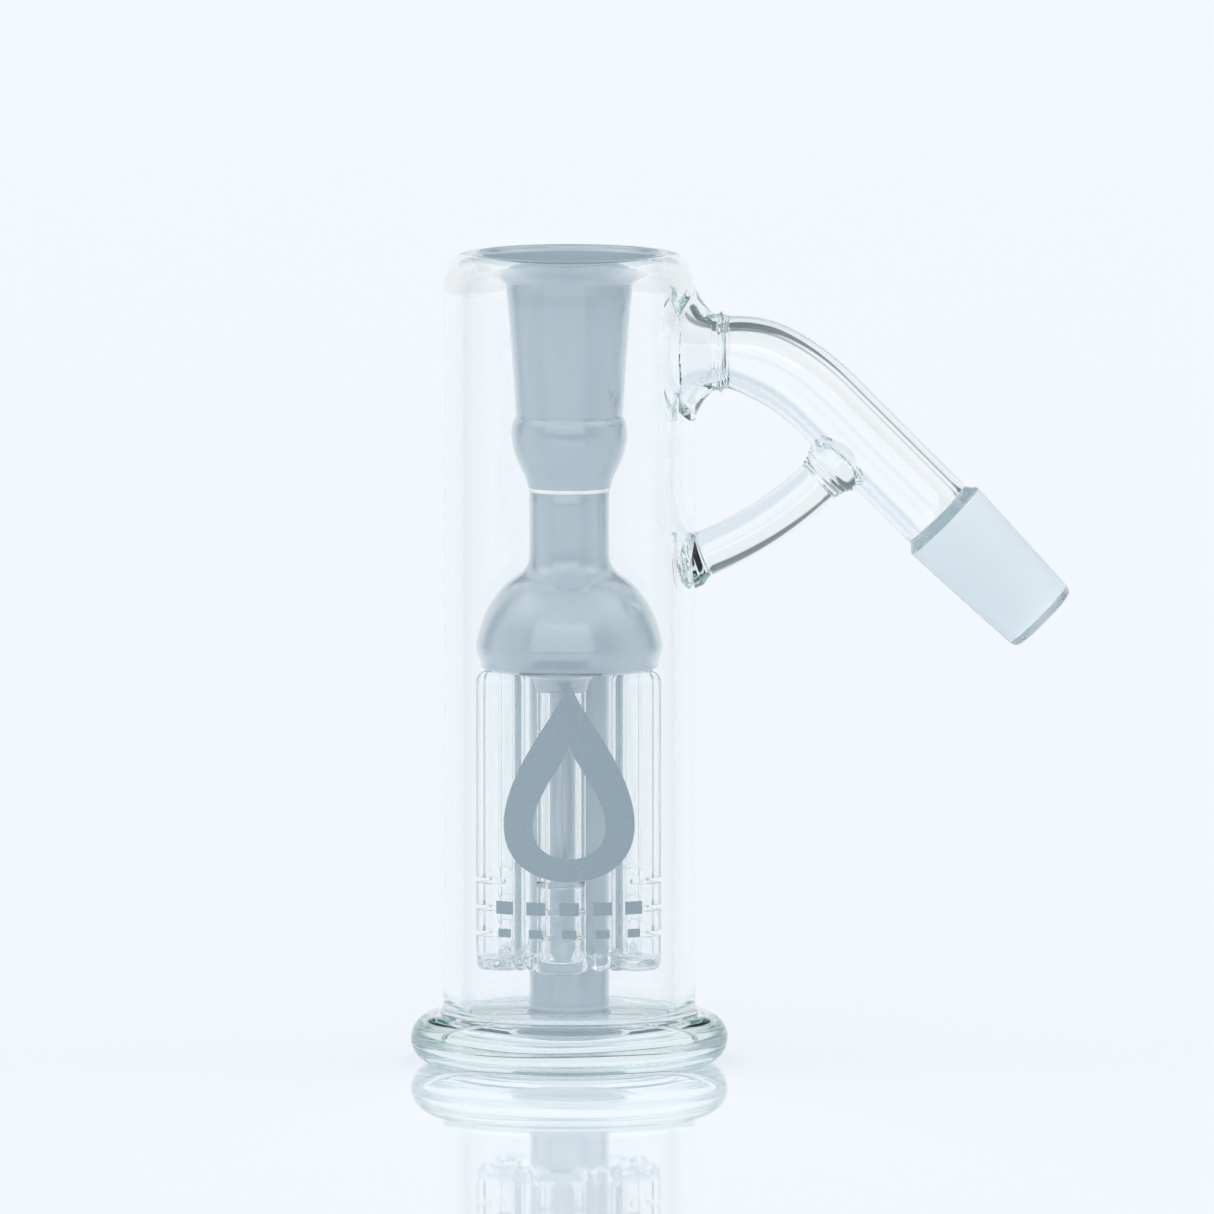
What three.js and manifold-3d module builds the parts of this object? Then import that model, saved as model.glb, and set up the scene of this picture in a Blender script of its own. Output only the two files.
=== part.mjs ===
// A clear glass percolator can with a 14.5 mm ground socket at the top and a
// 45 degree ground cone at the side. Millimetres, +Z up. The origin is the
// centre of the foot's flat underside, on the can's axis. +X points to the outlet.
import * as THREE from "three";
import { mergeVertices } from "three/addons/utils/BufferGeometryUtils.js";
import Module from "manifold-3d";

const wasm = await Module();
wasm.setup();

// ---- driving dimensions -------------------------------------------------
const GAP = 0.3; // between pieces that meet on a curved or slanted face

const FOOT_R = 24.45;
const FOOT_THICK = 7.8;
const FLOOR_Z = 7.0;

const CAN_R = 19.42;
const CAN_WALL = 2.8;
const SHOULDER_Z = 119.5;
const SHOULDER_RISE = 5.4;
const SHOULDER_INSET = 3.82;
const CAN_MOUTH_R = 15.9;
const FOOT_WELD_R = 20.9;
const FOOT_WELD_TOP = 9.8;

const MOUTH_TOP = 125.3;
const CONE_LARGE_R = 7.25; // standard 14.5 mm ground joint, 1:10 taper
const CONE_TAPER = 0.05; // radius per millimetre of length
const CONE_LENGTH = 20.5;
const SOCKET_TOP = 120.0;
const SOCKET_BOTTOM = 99.7;
const SOCKET_TOP_R = 9.68;
const SOCKET_BOTTOM_R = 8.25;

const STEM_R = 6.16; // tubing of the neck and of the support post
const STEM_WALL = 1.8;
const SEAM_TOP = 89.3;
const SEAM_BOTTOM = 88.5;
const SEAM_R = 6.4;
const NECK_BOTTOM = 77.4;

const DOME_R = 14.45;
const DOME_RIM_Z = 63.3;
const DOME_RIM_R = 14.15;
const DOME_WALL = 1.8;
const PLATE_Z = 61.3;
const PLATE_R = 13.8;

const ARM_R = 3.65;
const ARM_BORE_R = 2.35;
const ARM_RING_R = 11.1;
const ARM_BOTTOM = 15.0;
const ARM_END_THICK = 1.3;
const ARM_ANGLES = [-6, 65, 126, 176, 229, 292]; // degrees from -Y towards +X
const SLOT_Z = [20.8, 24.8, 29.0];
const SLOT_HEIGHT = 1.2;
const SLOT_DEPTH = 3.1;
const BRIDGE_Z = 16.6;
const BRIDGE_R = 1.0;

const OUTLET_Z = 109.9;
const OUTLET_R = 6.2;
const OUTLET_BORE_R = 4.35;
const FLARE_R = 8.8;
const FLARE_END_X = 22.0;
const RING_END_X = 23.5;
const RING_R = 6.95;
const CONE_START_X = 57.7; // centre of the cone's large end
const CONE_START_Z = 83.85;
const COLLAR_LENGTH = 2.0;
const TIP_LENGTH = 1.1;

const BRACE_R = 3.5;
const BRACE_START_Z = 78.3;
const BRACE_START_ANGLE = 20; // degrees above horizontal, where it leaves the can
const BRACE_END_ANGLE = 43;
const BRACE_BEND_R = 55;
const BRACE_WELD_R = 5.3;
const BRACE_WELD_LENGTH = 2.4;

// ---- materials ----------------------------------------------------------
const clearGlass = new THREE.MeshStandardMaterial({
  color: 0xdfe9ec,
  roughness: 0.03,
  metalness: 0,
  transparent: true,
  opacity: 0.35,
});
const milkyGlass = new THREE.MeshStandardMaterial({
  color: 0xa9b8c3,
  roughness: 0.12,
  metalness: 0,
});
const groundGlass = new THREE.MeshStandardMaterial({
  color: 0xd5e0e6,
  roughness: 0.7,
  metalness: 0,
});

// ---- geometry helpers ---------------------------------------------------
const radians = THREE.MathUtils.degToRad;
const point = (r, z) => new THREE.Vector2(r, z);

// Points on an ellipse's arc, angles in degrees from the +r direction.
function arc(r, z, rx, rz, from, to, steps) {
  const points = [];
  for (let i = 0; i <= steps; i += 1) {
    const a = radians(from + ((to - from) * i) / steps);
    points.push(point(r + rx * Math.cos(a), z + rz * Math.sin(a)));
  }
  return points;
}

// A smooth curve through a few (radius, height) pairs.
function smooth(pairs, steps) {
  const knots = pairs.map(([r, z]) => point(r, z));
  return new THREE.SplineCurve(knots).getPoints(steps);
}

// A solid of revolution about Z. The profile goes round anticlockwise.
function revolve(points, segments) {
  return new THREE.LatheGeometry(points, segments).rotateX(Math.PI / 2);
}

// A solid of revolution whose profile closes on itself.
function revolveRing(points, segments) {
  return revolve([...points, points[0].clone()], segments);
}

function solidOf(geometry) {
  const bare = geometry.clone();
  bare.deleteAttribute("normal");
  bare.deleteAttribute("uv");
  const merged = mergeVertices(bare, 1e-4);
  return new wasm.Manifold(
    new wasm.Mesh({
      numProp: 3,
      vertProperties: merged.attributes.position.array,
      triVerts: new Uint32Array(merged.index.array),
    }),
  );
}

function geometryOf(solid) {
  const mesh = solid.getMesh();
  const geometry = new THREE.BufferGeometry();
  geometry.setAttribute("position", new THREE.BufferAttribute(mesh.vertProperties, 3));
  geometry.setIndex(new THREE.BufferAttribute(mesh.triVerts, 1));
  const faceted = geometry.toNonIndexed();
  faceted.computeVertexNormals();
  return faceted;
}

function subtract(geometry, cutters) {
  let solid = solidOf(geometry);
  for (const cutter of cutters) {
    solid = solid.subtract(solidOf(cutter));
  }
  return geometryOf(solid);
}

const part = new THREE.Group();

function add(name, geometry, material, parent = part) {
  const mesh = new THREE.Mesh(geometry, material);
  mesh.name = name;
  parent.add(mesh);
  return mesh;
}

// ---- foot and can -------------------------------------------------------
const canInnerR = CAN_R - CAN_WALL;
const noseR = FOOT_THICK / 2;

function footPlate() {
  return revolve(
    [
      point(0, 0),
      ...arc(FOOT_R - noseR, noseR, noseR, noseR, -90, 90, 8),
      point(canInnerR, FOOT_THICK),
      point(canInnerR - 1.2, FLOOR_Z),
      point(0, FLOOR_Z),
    ],
    48,
  );
}

function canBody() {
  const shell = revolveRing(
    [
      point(canInnerR, FOOT_THICK),
      point(FOOT_WELD_R, FOOT_THICK),
      point(CAN_R + 0.45, FOOT_THICK + 0.7),
      point(CAN_R, FOOT_WELD_TOP),
      ...arc(CAN_R - SHOULDER_INSET, SHOULDER_Z, SHOULDER_INSET, SHOULDER_RISE, 0, 85, 5),
      point(CAN_MOUTH_R, MOUTH_TOP - 2.7),
      point(canInnerR, SHOULDER_Z),
    ],
    48,
  );
  const bore = new THREE.CylinderGeometry(OUTLET_BORE_R, OUTLET_BORE_R, CAN_R, 24);
  bore.rotateZ(Math.PI / 2);
  bore.translate(CAN_R, 0, OUTLET_Z);
  return subtract(shell, [bore]);
}

add("foot_plate", footPlate(), clearGlass);
add("can_body", canBody(), clearGlass);

// ---- ground socket and its flared mouth ---------------------------------
function mouthFunnel() {
  const outerR = CAN_MOUTH_R - GAP;
  return revolveRing(
    [
      point(CONE_LARGE_R, SOCKET_TOP),
      point(SOCKET_TOP_R, SOCKET_TOP),
      point(9.95, SOCKET_TOP + 1.3),
      point(11.0, SOCKET_TOP + 2.3),
      point(12.6, SOCKET_TOP + 2.95),
      point(outerR, MOUTH_TOP - 1.7),
      point(outerR, MOUTH_TOP - 0.5),
      point(outerR - 0.4, MOUTH_TOP),
      point(outerR - 1.7, MOUTH_TOP),
      point(11.6, MOUTH_TOP - 0.9),
      point(8.9, MOUTH_TOP - 2.5),
      point(7.6, MOUTH_TOP - 4.1),
    ],
    32,
  );
}

function jointSocket() {
  const length = SOCKET_TOP - SOCKET_BOTTOM;
  return revolveRing(
    [
      point(CONE_LARGE_R - CONE_TAPER * length, SOCKET_BOTTOM),
      point(SOCKET_BOTTOM_R, SOCKET_BOTTOM),
      point(SOCKET_TOP_R, SOCKET_TOP),
      point(CONE_LARGE_R, SOCKET_TOP),
    ],
    32,
  );
}

add("mouth_funnel", mouthFunnel(), milkyGlass);
add("joint_socket", jointSocket(), milkyGlass);

// ---- bulb, seam and neck below the socket -------------------------------
const stemBoreR = STEM_R - STEM_WALL;

function reducingBulb() {
  const outside = smooth([[6.42, SEAM_TOP], [7.35, 91.7], [8.55, 94.6], [8.97, 97.2], [8.35, SOCKET_BOTTOM]], 8);
  const inside = smooth([[6.25, SOCKET_BOTTOM], [7.1, 97.0], [6.7, 94.6], [5.4, 91.7], [stemBoreR, SEAM_TOP]], 6);
  return revolveRing([...outside, ...inside], 32);
}

function seamRing() {
  const middle = (SEAM_TOP + SEAM_BOTTOM) / 2;
  return revolveRing(
    [
      point(stemBoreR, SEAM_BOTTOM),
      point(STEM_R, SEAM_BOTTOM),
      point(SEAM_R, middle),
      point(SEAM_R, SEAM_TOP),
      point(stemBoreR, SEAM_TOP),
    ],
    32,
  );
}

function tubeBetween(low, high) {
  return revolveRing(
    [point(stemBoreR, low), point(STEM_R, low), point(STEM_R, high), point(stemBoreR, high)],
    32,
  );
}

add("reducing_bulb", reducingBulb(), milkyGlass);
add("seam_ring", seamRing(), clearGlass);
add("neck_tube", tubeBetween(NECK_BOTTOM, SEAM_BOTTOM), milkyGlass);

// ---- dome and the plate that closes it ----------------------------------
function dome() {
  const outside = smooth(
    [[DOME_RIM_R, DOME_RIM_Z], [DOME_R, 64.8], [13.85, 67.7], [12.45, 70.8], [10.25, 73.9], [6.35, NECK_BOTTOM]],
    12,
  );
  const inside = smooth(
    [[stemBoreR, NECK_BOTTOM], [8.6, 72.9], [11.2, 69.6], [DOME_RIM_R - DOME_WALL, DOME_RIM_Z]],
    7,
  );
  return revolveRing([...outside, ...inside], 40);
}

const armPlaces = ARM_ANGLES.map((angle) => {
  const a = radians(angle);
  return { x: ARM_RING_R * Math.sin(a), y: -ARM_RING_R * Math.cos(a), outward: a - Math.PI / 2 };
});

function domePlate() {
  const middle = (PLATE_Z + DOME_RIM_Z) / 2;
  const disc = revolve(
    [
      point(0, PLATE_Z),
      point(PLATE_R - 0.5, PLATE_Z),
      point(PLATE_R, PLATE_Z + 0.5),
      point(PLATE_R, middle),
      point(DOME_RIM_R, DOME_RIM_Z),
      point(0, DOME_RIM_Z),
    ],
    40,
  );
  const holes = armPlaces.map(({ x, y }) => {
    const hole = new THREE.CylinderGeometry(ARM_BORE_R, ARM_BORE_R, 10, 16);
    hole.rotateX(Math.PI / 2);
    return hole.translate(x, y, middle);
  });
  return subtract(disc, holes);
}

add("dome", dome(), milkyGlass);
add("dome_plate", domePlate(), milkyGlass);

// ---- slotted arms and the glass bridges between them --------------------
function armGeometry() {
  const tube = revolve(
    [
      point(0, ARM_BOTTOM),
      ...arc(ARM_R - 0.9, ARM_BOTTOM + 0.9, 0.9, 0.9, -90, 0, 2),
      point(ARM_R, PLATE_Z),
      point(ARM_BORE_R, PLATE_Z),
      point(ARM_BORE_R, ARM_BOTTOM + ARM_END_THICK + 0.5),
      point(ARM_BORE_R - 0.5, ARM_BOTTOM + ARM_END_THICK),
      point(0, ARM_BOTTOM + ARM_END_THICK),
    ],
    16,
  );
  const slots = SLOT_Z.map((z) => {
    const slot = new THREE.BoxGeometry(SLOT_DEPTH * 2, ARM_R * 3, SLOT_HEIGHT);
    return slot.translate(ARM_R, 0, z);
  });
  return subtract(tube, slots);
}

function bridgeGeometry(length) {
  const half = length / 2;
  return revolve(
    [
      point(0, -half),
      point(BRIDGE_R * 0.85, -half),
      point(BRIDGE_R, 0),
      point(BRIDGE_R * 0.85, half),
      point(0, half),
    ],
    10,
  );
}

const slottedArm = armGeometry();
armPlaces.forEach(({ x, y, outward }, index) => {
  const arm = add("arm_" + (index + 1), slottedArm, clearGlass);
  arm.position.set(x, y, 0);
  arm.rotation.z = outward;
});

armPlaces.forEach((from, index) => {
  const to = armPlaces[(index + 1) % armPlaces.length];
  const chord = new THREE.Vector3(to.x - from.x, to.y - from.y, 0);
  const length = chord.length() - 2 * (ARM_R + GAP);
  const bridge = add("bridge_" + (index + 1), bridgeGeometry(length), clearGlass);
  bridge.position.set((from.x + to.x) / 2, (from.y + to.y) / 2, BRIDGE_Z);
  bridge.quaternion.setFromUnitVectors(new THREE.Vector3(0, 0, 1), chord.normalize());
});

// ---- support post -------------------------------------------------------
function postWeld() {
  const innerR = STEM_R + GAP;
  return revolveRing(
    [
      point(innerR, FLOOR_Z),
      point(innerR + 1.3, FLOOR_Z),
      point(innerR + 0.5, FLOOR_Z + 0.45),
      point(innerR, FLOOR_Z + 1.2),
    ],
    24,
  );
}

add("support_post", tubeBetween(FLOOR_Z, PLATE_Z), milkyGlass);
add("post_weld", postWeld(), clearGlass);

// ---- outlet: flared weld, seam ring, bent tube and ground cone ----------
function canCutter() {
  const cutter = new THREE.CylinderGeometry(CAN_R + GAP, CAN_R + GAP, 60, 48);
  cutter.rotateX(Math.PI / 2);
  return cutter.translate(0, 0, OUTLET_Z - 10);
}

// Turns a solid of revolution about Z so that its axis is +X at the outlet's height.
function alongOutlet(geometry) {
  return geometry.rotateY(Math.PI / 2).translate(0, 0, OUTLET_Z);
}

function outletFlare() {
  const root = FLARE_END_X - 6;
  const flare = revolveRing(
    [
      point(OUTLET_BORE_R, root),
      point(FLARE_R, root),
      point(FLARE_R, CAN_R),
      point(FLARE_R - 0.3, CAN_R + 0.5),
      point(OUTLET_R + 1.5, CAN_R + 1.0),
      point(OUTLET_R + 0.6, CAN_R + 1.7),
      point(OUTLET_R + 0.35, FLARE_END_X),
      point(OUTLET_BORE_R, FLARE_END_X),
    ],
    28,
  );
  return subtract(alongOutlet(flare), [canCutter()]);
}

function outletRing() {
  const middle = (FLARE_END_X + RING_END_X) / 2;
  return alongOutlet(
    revolveRing(
      [
        point(OUTLET_BORE_R, FLARE_END_X),
        point(OUTLET_R + 0.4, FLARE_END_X),
        point(RING_R, middle - 0.3),
        point(RING_R, middle + 0.3),
        point(OUTLET_R + 0.2, RING_END_X),
        point(OUTLET_BORE_R, RING_END_X),
      ],
      24,
    ),
  );
}

const down45 = new THREE.Vector3(Math.SQRT1_2, 0, -Math.SQRT1_2);
const coneStart = new THREE.Vector3(CONE_START_X, 0, CONE_START_Z);
const coneLine = (distance) => coneStart.clone().addScaledVector(down45, distance);

// The tube's centre line: a short straight, a bend to 45 degrees, then straight.
function outletPath() {
  const corner = new THREE.Vector3(CONE_START_X + CONE_START_Z - OUTLET_Z, 0, OUTLET_Z);
  const start = new THREE.Vector3(RING_END_X, 0, OUTLET_Z);
  const bendStart = new THREE.Vector3(RING_END_X + 0.4, 0, OUTLET_Z);
  const bendLength = corner.x - bendStart.x;
  const bendEnd = corner.clone().addScaledVector(down45, bendLength * 1.45);
  const end = coneLine(-COLLAR_LENGTH - GAP);
  const path = new THREE.CurvePath();
  path.add(new THREE.LineCurve3(start, bendStart));
  path.add(new THREE.QuadraticBezierCurve3(bendStart, corner, bendEnd));
  path.add(new THREE.LineCurve3(bendEnd, end));
  return path;
}

function roundSection(outerR, boreR) {
  const section = new THREE.Shape().absarc(0, 0, outerR, 0, 2 * Math.PI, false);
  if (boreR > 0) {
    section.holes.push(new THREE.Path().absarc(0, 0, boreR, 0, 2 * Math.PI, true));
  }
  return section;
}

function sweep(section, path, steps, sides) {
  return new THREE.ExtrudeGeometry(section, { steps, extrudePath: path, curveSegments: sides });
}

function groundCone() {
  const smallR = CONE_LARGE_R - CONE_TAPER * CONE_LENGTH;
  const tipEnd = CONE_LENGTH + TIP_LENGTH;
  return revolveRing(
    [
      point(OUTLET_BORE_R, -COLLAR_LENGTH),
      point(OUTLET_R, -COLLAR_LENGTH),
      point(OUTLET_R + 0.35, -1.2),
      point(CONE_LARGE_R - 0.15, -0.35),
      point(CONE_LARGE_R, 0),
      point(smallR, CONE_LENGTH),
      point(smallR - 0.1, tipEnd - 0.5),
      point(smallR - 0.5, tipEnd),
      point(OUTLET_BORE_R + 0.3, tipEnd),
      point(OUTLET_BORE_R, tipEnd - 0.5),
    ],
    28,
  );
}

add("outlet_flare", outletFlare(), clearGlass);
add("outlet_ring", outletRing(), clearGlass);
add("outlet_tube", sweep(roundSection(OUTLET_R, OUTLET_BORE_R), outletPath(), 14, 12), clearGlass);
const cone = add("ground_cone", groundCone(), groundGlass);
cone.position.copy(coneStart);
cone.rotation.y = radians(135);

// ---- brace rod and its two welds ----------------------------------------
// A unit vector in the XZ plane, at an angle above +X.
function heading(degrees) {
  return new THREE.Vector3(Math.cos(radians(degrees)), 0, Math.sin(radians(degrees)));
}

// The brace's centre line turns steadily about this point.
const braceStart = new THREE.Vector3(CAN_R, 0, BRACE_START_Z);
const bendCentre = braceStart.clone().addScaledVector(heading(BRACE_START_ANGLE + 90), BRACE_BEND_R);
const bracePoint = (angle) => bendCentre.clone().addScaledVector(heading(angle - 90), BRACE_BEND_R);
const rodStartAngle = BRACE_START_ANGLE + THREE.MathUtils.radToDeg(BRACE_WELD_LENGTH / BRACE_BEND_R);

class BraceLine extends THREE.Curve {
  getPoint(t, target = new THREE.Vector3()) {
    return target.copy(bracePoint(rodStartAngle + (BRACE_END_ANGLE - rodStartAngle) * t));
  }
}

// A weld flares from the rod's end to the glass that it joins, then is cut to fit it.
function weldGeometry(length, cutters, place, direction) {
  const weld = revolve(
    [
      point(0, -BRACE_WELD_R),
      point(BRACE_WELD_R, -BRACE_WELD_R),
      point(BRACE_WELD_R - 0.2, 0.7),
      point(BRACE_R + 0.6, 0.55 * length),
      point(BRACE_R, length - GAP),
      point(0, length - GAP),
    ],
    18,
  );
  const turn = new THREE.Quaternion().setFromUnitVectors(new THREE.Vector3(0, 0, 1), direction);
  weld.applyQuaternion(turn);
  weld.translate(place.x, place.y, place.z);
  return subtract(weld, cutters);
}

function tubeWeld() {
  const rodEnd = bracePoint(BRACE_END_ANGLE);
  const backwards = heading(45).negate();
  const middle = coneLine(-16);
  const cutter = new THREE.CylinderGeometry(OUTLET_R + GAP, OUTLET_R + GAP, 40, 24);
  cutter.applyQuaternion(
    new THREE.Quaternion().setFromUnitVectors(new THREE.Vector3(0, 1, 0), down45),
  );
  cutter.translate(middle.x, middle.y, middle.z);
  const place = rodEnd.clone().addScaledVector(backwards, -BRACE_WELD_LENGTH - 0.4);
  return weldGeometry(BRACE_WELD_LENGTH + 0.4, [cutter], place, backwards);
}

add("brace_rod", sweep(roundSection(BRACE_R, 0), new BraceLine(), 8, 8), clearGlass);
add(
  "brace_can_weld",
  weldGeometry(BRACE_WELD_LENGTH, [canCutter()], braceStart, heading(BRACE_START_ANGLE)),
  clearGlass,
);
add("brace_tube_weld", tubeWeld(), clearGlass);

export default part;
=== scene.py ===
"""Looks of a clear glass percolator can: fused clear body, milky inner parts, slotted arms.

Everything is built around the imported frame. Lengths in the code are millimetres, turned
into metres when a mesh is made. Named angles are degrees, apart from the sky's.
"""
import math

import bmesh
import bpy
from mathutils import Matrix, Vector


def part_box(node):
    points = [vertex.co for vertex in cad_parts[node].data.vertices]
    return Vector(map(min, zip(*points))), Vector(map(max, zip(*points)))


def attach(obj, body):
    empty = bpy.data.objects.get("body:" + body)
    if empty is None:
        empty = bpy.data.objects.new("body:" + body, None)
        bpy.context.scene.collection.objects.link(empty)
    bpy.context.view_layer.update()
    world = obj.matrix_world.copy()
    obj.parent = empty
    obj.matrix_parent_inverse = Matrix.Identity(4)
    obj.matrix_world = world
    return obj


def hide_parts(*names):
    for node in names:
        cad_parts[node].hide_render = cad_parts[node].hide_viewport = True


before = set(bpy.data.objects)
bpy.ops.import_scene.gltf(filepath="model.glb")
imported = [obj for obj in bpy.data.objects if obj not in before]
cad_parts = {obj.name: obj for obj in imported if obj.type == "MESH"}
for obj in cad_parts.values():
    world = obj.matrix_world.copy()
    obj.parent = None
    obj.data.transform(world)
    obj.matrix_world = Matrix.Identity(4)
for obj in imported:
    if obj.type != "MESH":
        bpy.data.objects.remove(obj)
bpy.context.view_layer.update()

MM = 0.001
BODY = "root"


# ---- sizes read from the frame ------------------------------------------------
def low(node):
    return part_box(node)[0] / MM


def high(node):
    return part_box(node)[1] / MM


def middle(node):
    return (low(node) + high(node)) / 2


def half_width(node):
    return (high(node).y - low(node).y) / 2


FOOT_R = half_width("foot_plate")
FOOT_THICK = high("foot_plate").z
FLOOR_Z = low("support_post").z
MOUTH_TOP = high("mouth_funnel").z
MOUTH_R = half_width("mouth_funnel")
SOCKET_TOP = high("joint_socket").z
SEAM_TOP = high("seam_ring").z
SEAM_BOTTOM = low("seam_ring").z
STEM_R = half_width("neck_tube")
PLATE_Z = low("dome_plate").z
ARM_BOTTOM = low("arm_1").z
OUTLET_Z = middle("outlet_ring").z
RING_X = middle("outlet_ring").x
CONE_LARGE_R = half_width("ground_cone")
ARMS = [name for name in sorted(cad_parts) if name.startswith("arm_")]
BRIDGES = [name for name in sorted(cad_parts) if name.startswith("bridge_")]

# ---- sizes that no node's box gives ---------------------------------------------
CAN_R = 19.42
CAN_WALL = 2.8
CAN_INNER_R = CAN_R - CAN_WALL
SHOULDER_Z = 119.5
SHOULDER_INSET = 3.82
SHOULDER_RISE = 5.7
CORNER_R = 1.5
PUNT_R = 13.6
PUNT_DEPTH = 1.5
WAVE_START_R = 20.7
WAVE_RAMP = 1.5
WIDE_WAVE = 0.04
SHORT_WAVE = 0.02
STEM_BORE_R = STEM_R - 1.8
ARM_R = 3.65
ARM_BORE_R = 2.35
ARM_END_R = 1.3
SLOT_HEIGHTS = (20.8, 24.8, 29.0)
SLOT_DEPTH = 3.1
SLOT_HALF = 0.45
OUTLET_R = 6.2
OUTLET_BORE_R = 4.35
OUTLET_STEP = 0.25
BEND_START_X = RING_X + 1.15
BEND_STRETCH = 1.45
CONE_START = Vector((57.7, 0, 83.85))
CONE_LENGTH = 20.5
CONE_TAPER = 0.05
TIP_END = CONE_LENGTH + 1.1
DOWN45 = Vector((1, 0, -1)).normalized()
BRACE_R = 3.5
BRACE_START_Z = 78.3
BRACE_BEND_R = 55.0
BRACE_START_ANGLE = 20.0
BRACE_END_ANGLE = 43.0


# ---- mesh helpers -----------------------------------------------------------
def mesh_object(name, vertices, faces, material=None, sharp=40):
    mesh = bpy.data.meshes.new(name)
    mesh.from_pydata([Vector(v) * MM for v in vertices], [], faces)
    mesh.validate()
    obj = bpy.data.objects.new(name, mesh)
    bpy.context.scene.collection.objects.link(obj)
    face_out(obj)
    shade(obj, sharp)
    if material:
        mesh.materials.append(material)
    return obj


def face_out(obj):
    bm = bmesh.new()
    bm.from_mesh(obj.data)
    bmesh.ops.recalc_face_normals(bm, faces=bm.faces)
    bm.to_mesh(obj.data)
    bm.free()


def shade(obj, sharp):
    """Smooth shading, broken at edges that turn by more than sharp."""
    for polygon in obj.data.polygons:
        polygon.use_smooth = True
    obj.data.set_sharp_from_angle(angle=math.radians(sharp))


def grid_faces(rows, columns, closed_rows=False):
    """Quads of a grid whose columns go round and close."""
    faces = []
    for i in range(rows if closed_rows else rows - 1):
        a = i * columns
        b = ((i + 1) % rows) * columns
        for j in range(columns):
            k = (j + 1) % columns
            faces.append((a + j, a + k, b + k, b + j))
    return faces


def cap(vertices, faces, centre, ring, sides):
    """Closes the ring of sides vertices that starts at ring with a fan to centre."""
    pole = len(vertices)
    vertices.append(centre)
    faces += [(pole, ring + j, ring + (j + 1) % sides) for j in range(sides)]


def lathe(name, profile, segments, material=None, sharp=40):
    """Revolves (radius, height) points about Z. A profile off the axis closes on itself."""
    on_axis = profile[0][0] == 0
    ring_points = profile[1:-1] if on_axis else profile
    vertices = []
    for radius, height in ring_points:
        for j in range(segments):
            angle = 2 * math.pi * j / segments
            vertices.append((radius * math.cos(angle), radius * math.sin(angle), height))
    faces = grid_faces(len(ring_points), segments, closed_rows=not on_axis)
    if on_axis:
        cap(vertices, faces, (0, 0, profile[0][1]), 0, segments)
        cap(vertices, faces, (0, 0, profile[-1][1]), (len(ring_points) - 1) * segments, segments)
    return mesh_object(name, vertices, faces, material, sharp)


def arc(r, z, rx, rz, start, end, steps):
    """Points on an ellipse's arc about (r, z); the angles count from +r."""
    points = []
    for i in range(steps + 1):
        angle = math.radians(start + (end - start) * i / steps)
        points.append((r + rx * math.cos(angle), z + rz * math.sin(angle)))
    return points


def smooth(points, per_span=8):
    """A Catmull-Rom curve through the points."""
    ends = [points[0]] + list(points) + [points[-1]]
    curve = []
    for i in range(1, len(ends) - 2):
        p0, p1, p2, p3 = ends[i - 1 : i + 3]
        for step in range(per_span):
            t = step / per_span
            curve.append(tuple(catmull(a, b, c, d, t) for a, b, c, d in zip(p0, p1, p2, p3)))
    curve.append(tuple(points[-1]))
    return curve


def catmull(a, b, c, d, t):
    return 0.5 * (2 * b + (c - a) * t + (2 * a - 5 * b + 4 * c - d) * t**2
                  + (3 * b - a - 3 * c + d) * t**3)


def dense(profile, step):
    """The profile with its long straight stretches divided."""
    points = [profile[0]]
    for (r0, z0), (r1, z1) in zip(profile, profile[1:]):
        parts = max(1, math.ceil(math.hypot(r1 - r0, z1 - z0) / step))
        points += [(r0 + (r1 - r0) * i / parts, z0 + (z1 - z0) * i / parts)
                   for i in range(1, parts + 1)]
    return points


def level(pairs, x):
    """Straight-line interpolation through (x, value) pairs."""
    if x <= pairs[0][0]:
        return pairs[0][1]
    for (x0, v0), (x1, v1) in zip(pairs, pairs[1:]):
        if x <= x1:
            return v0 + (v1 - v0) * (x - x0) / (x1 - x0)
    return pairs[-1][1]


def sweep(name, centres, radii, sides, material):
    """A closed round bar along centres in the XZ plane, with a radius at each."""
    vertices = []
    count = len(centres)
    for i, centre in enumerate(centres):
        before = centres[max(i - 1, 0)]
        after = centres[min(i + 1, count - 1)]
        along = (after - before).normalized()
        across = Vector((0, 1, 0)).cross(along)
        for j in range(sides):
            angle = 2 * math.pi * j / sides
            offset = Vector((0, math.cos(angle), 0)) + across * math.sin(angle)
            vertices.append(centre + offset * radii[i])
    faces = grid_faces(count, sides)
    cap(vertices, faces, centres[0], 0, sides)
    cap(vertices, faces, centres[-1], (count - 1) * sides, sides)
    return mesh_object(name, vertices, faces, material)


def combine(target, other, operation):
    """Applies a boolean to target and deletes other."""
    modifier = target.modifiers.new(operation, "BOOLEAN")
    modifier.operation = operation
    modifier.solver = "MANIFOLD"
    modifier.material_mode = "TRANSFER"
    modifier.object = other
    apply_modifiers(target)
    bpy.data.objects.remove(other)


def apply_modifiers(obj):
    depsgraph = bpy.context.evaluated_depsgraph_get()
    mesh = bpy.data.meshes.new_from_object(obj.evaluated_get(depsgraph))
    old = obj.data
    obj.modifiers.clear()
    obj.data = mesh
    mesh.name = obj.name
    bpy.data.meshes.remove(old)


def piece(obj, slot, *nodes):
    """obj rides on the body and stands for the nodes; slot is not used."""
    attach(obj, BODY)
    if nodes:
        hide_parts(*nodes)
    return obj


# ---- materials --------------------------------------------------------------
GLASS_IOR = 1.47


def new_material(name, sockets):
    """A Principled material with constant values on the shader's own sockets."""
    material = bpy.data.materials.new(name)
    material.use_nodes = True
    tree = material.node_tree
    shader = tree.nodes["Principled BSDF"]
    for socket, value in sockets.items():
        shader.inputs[socket].default_value = value
    return material, tree, shader


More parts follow.
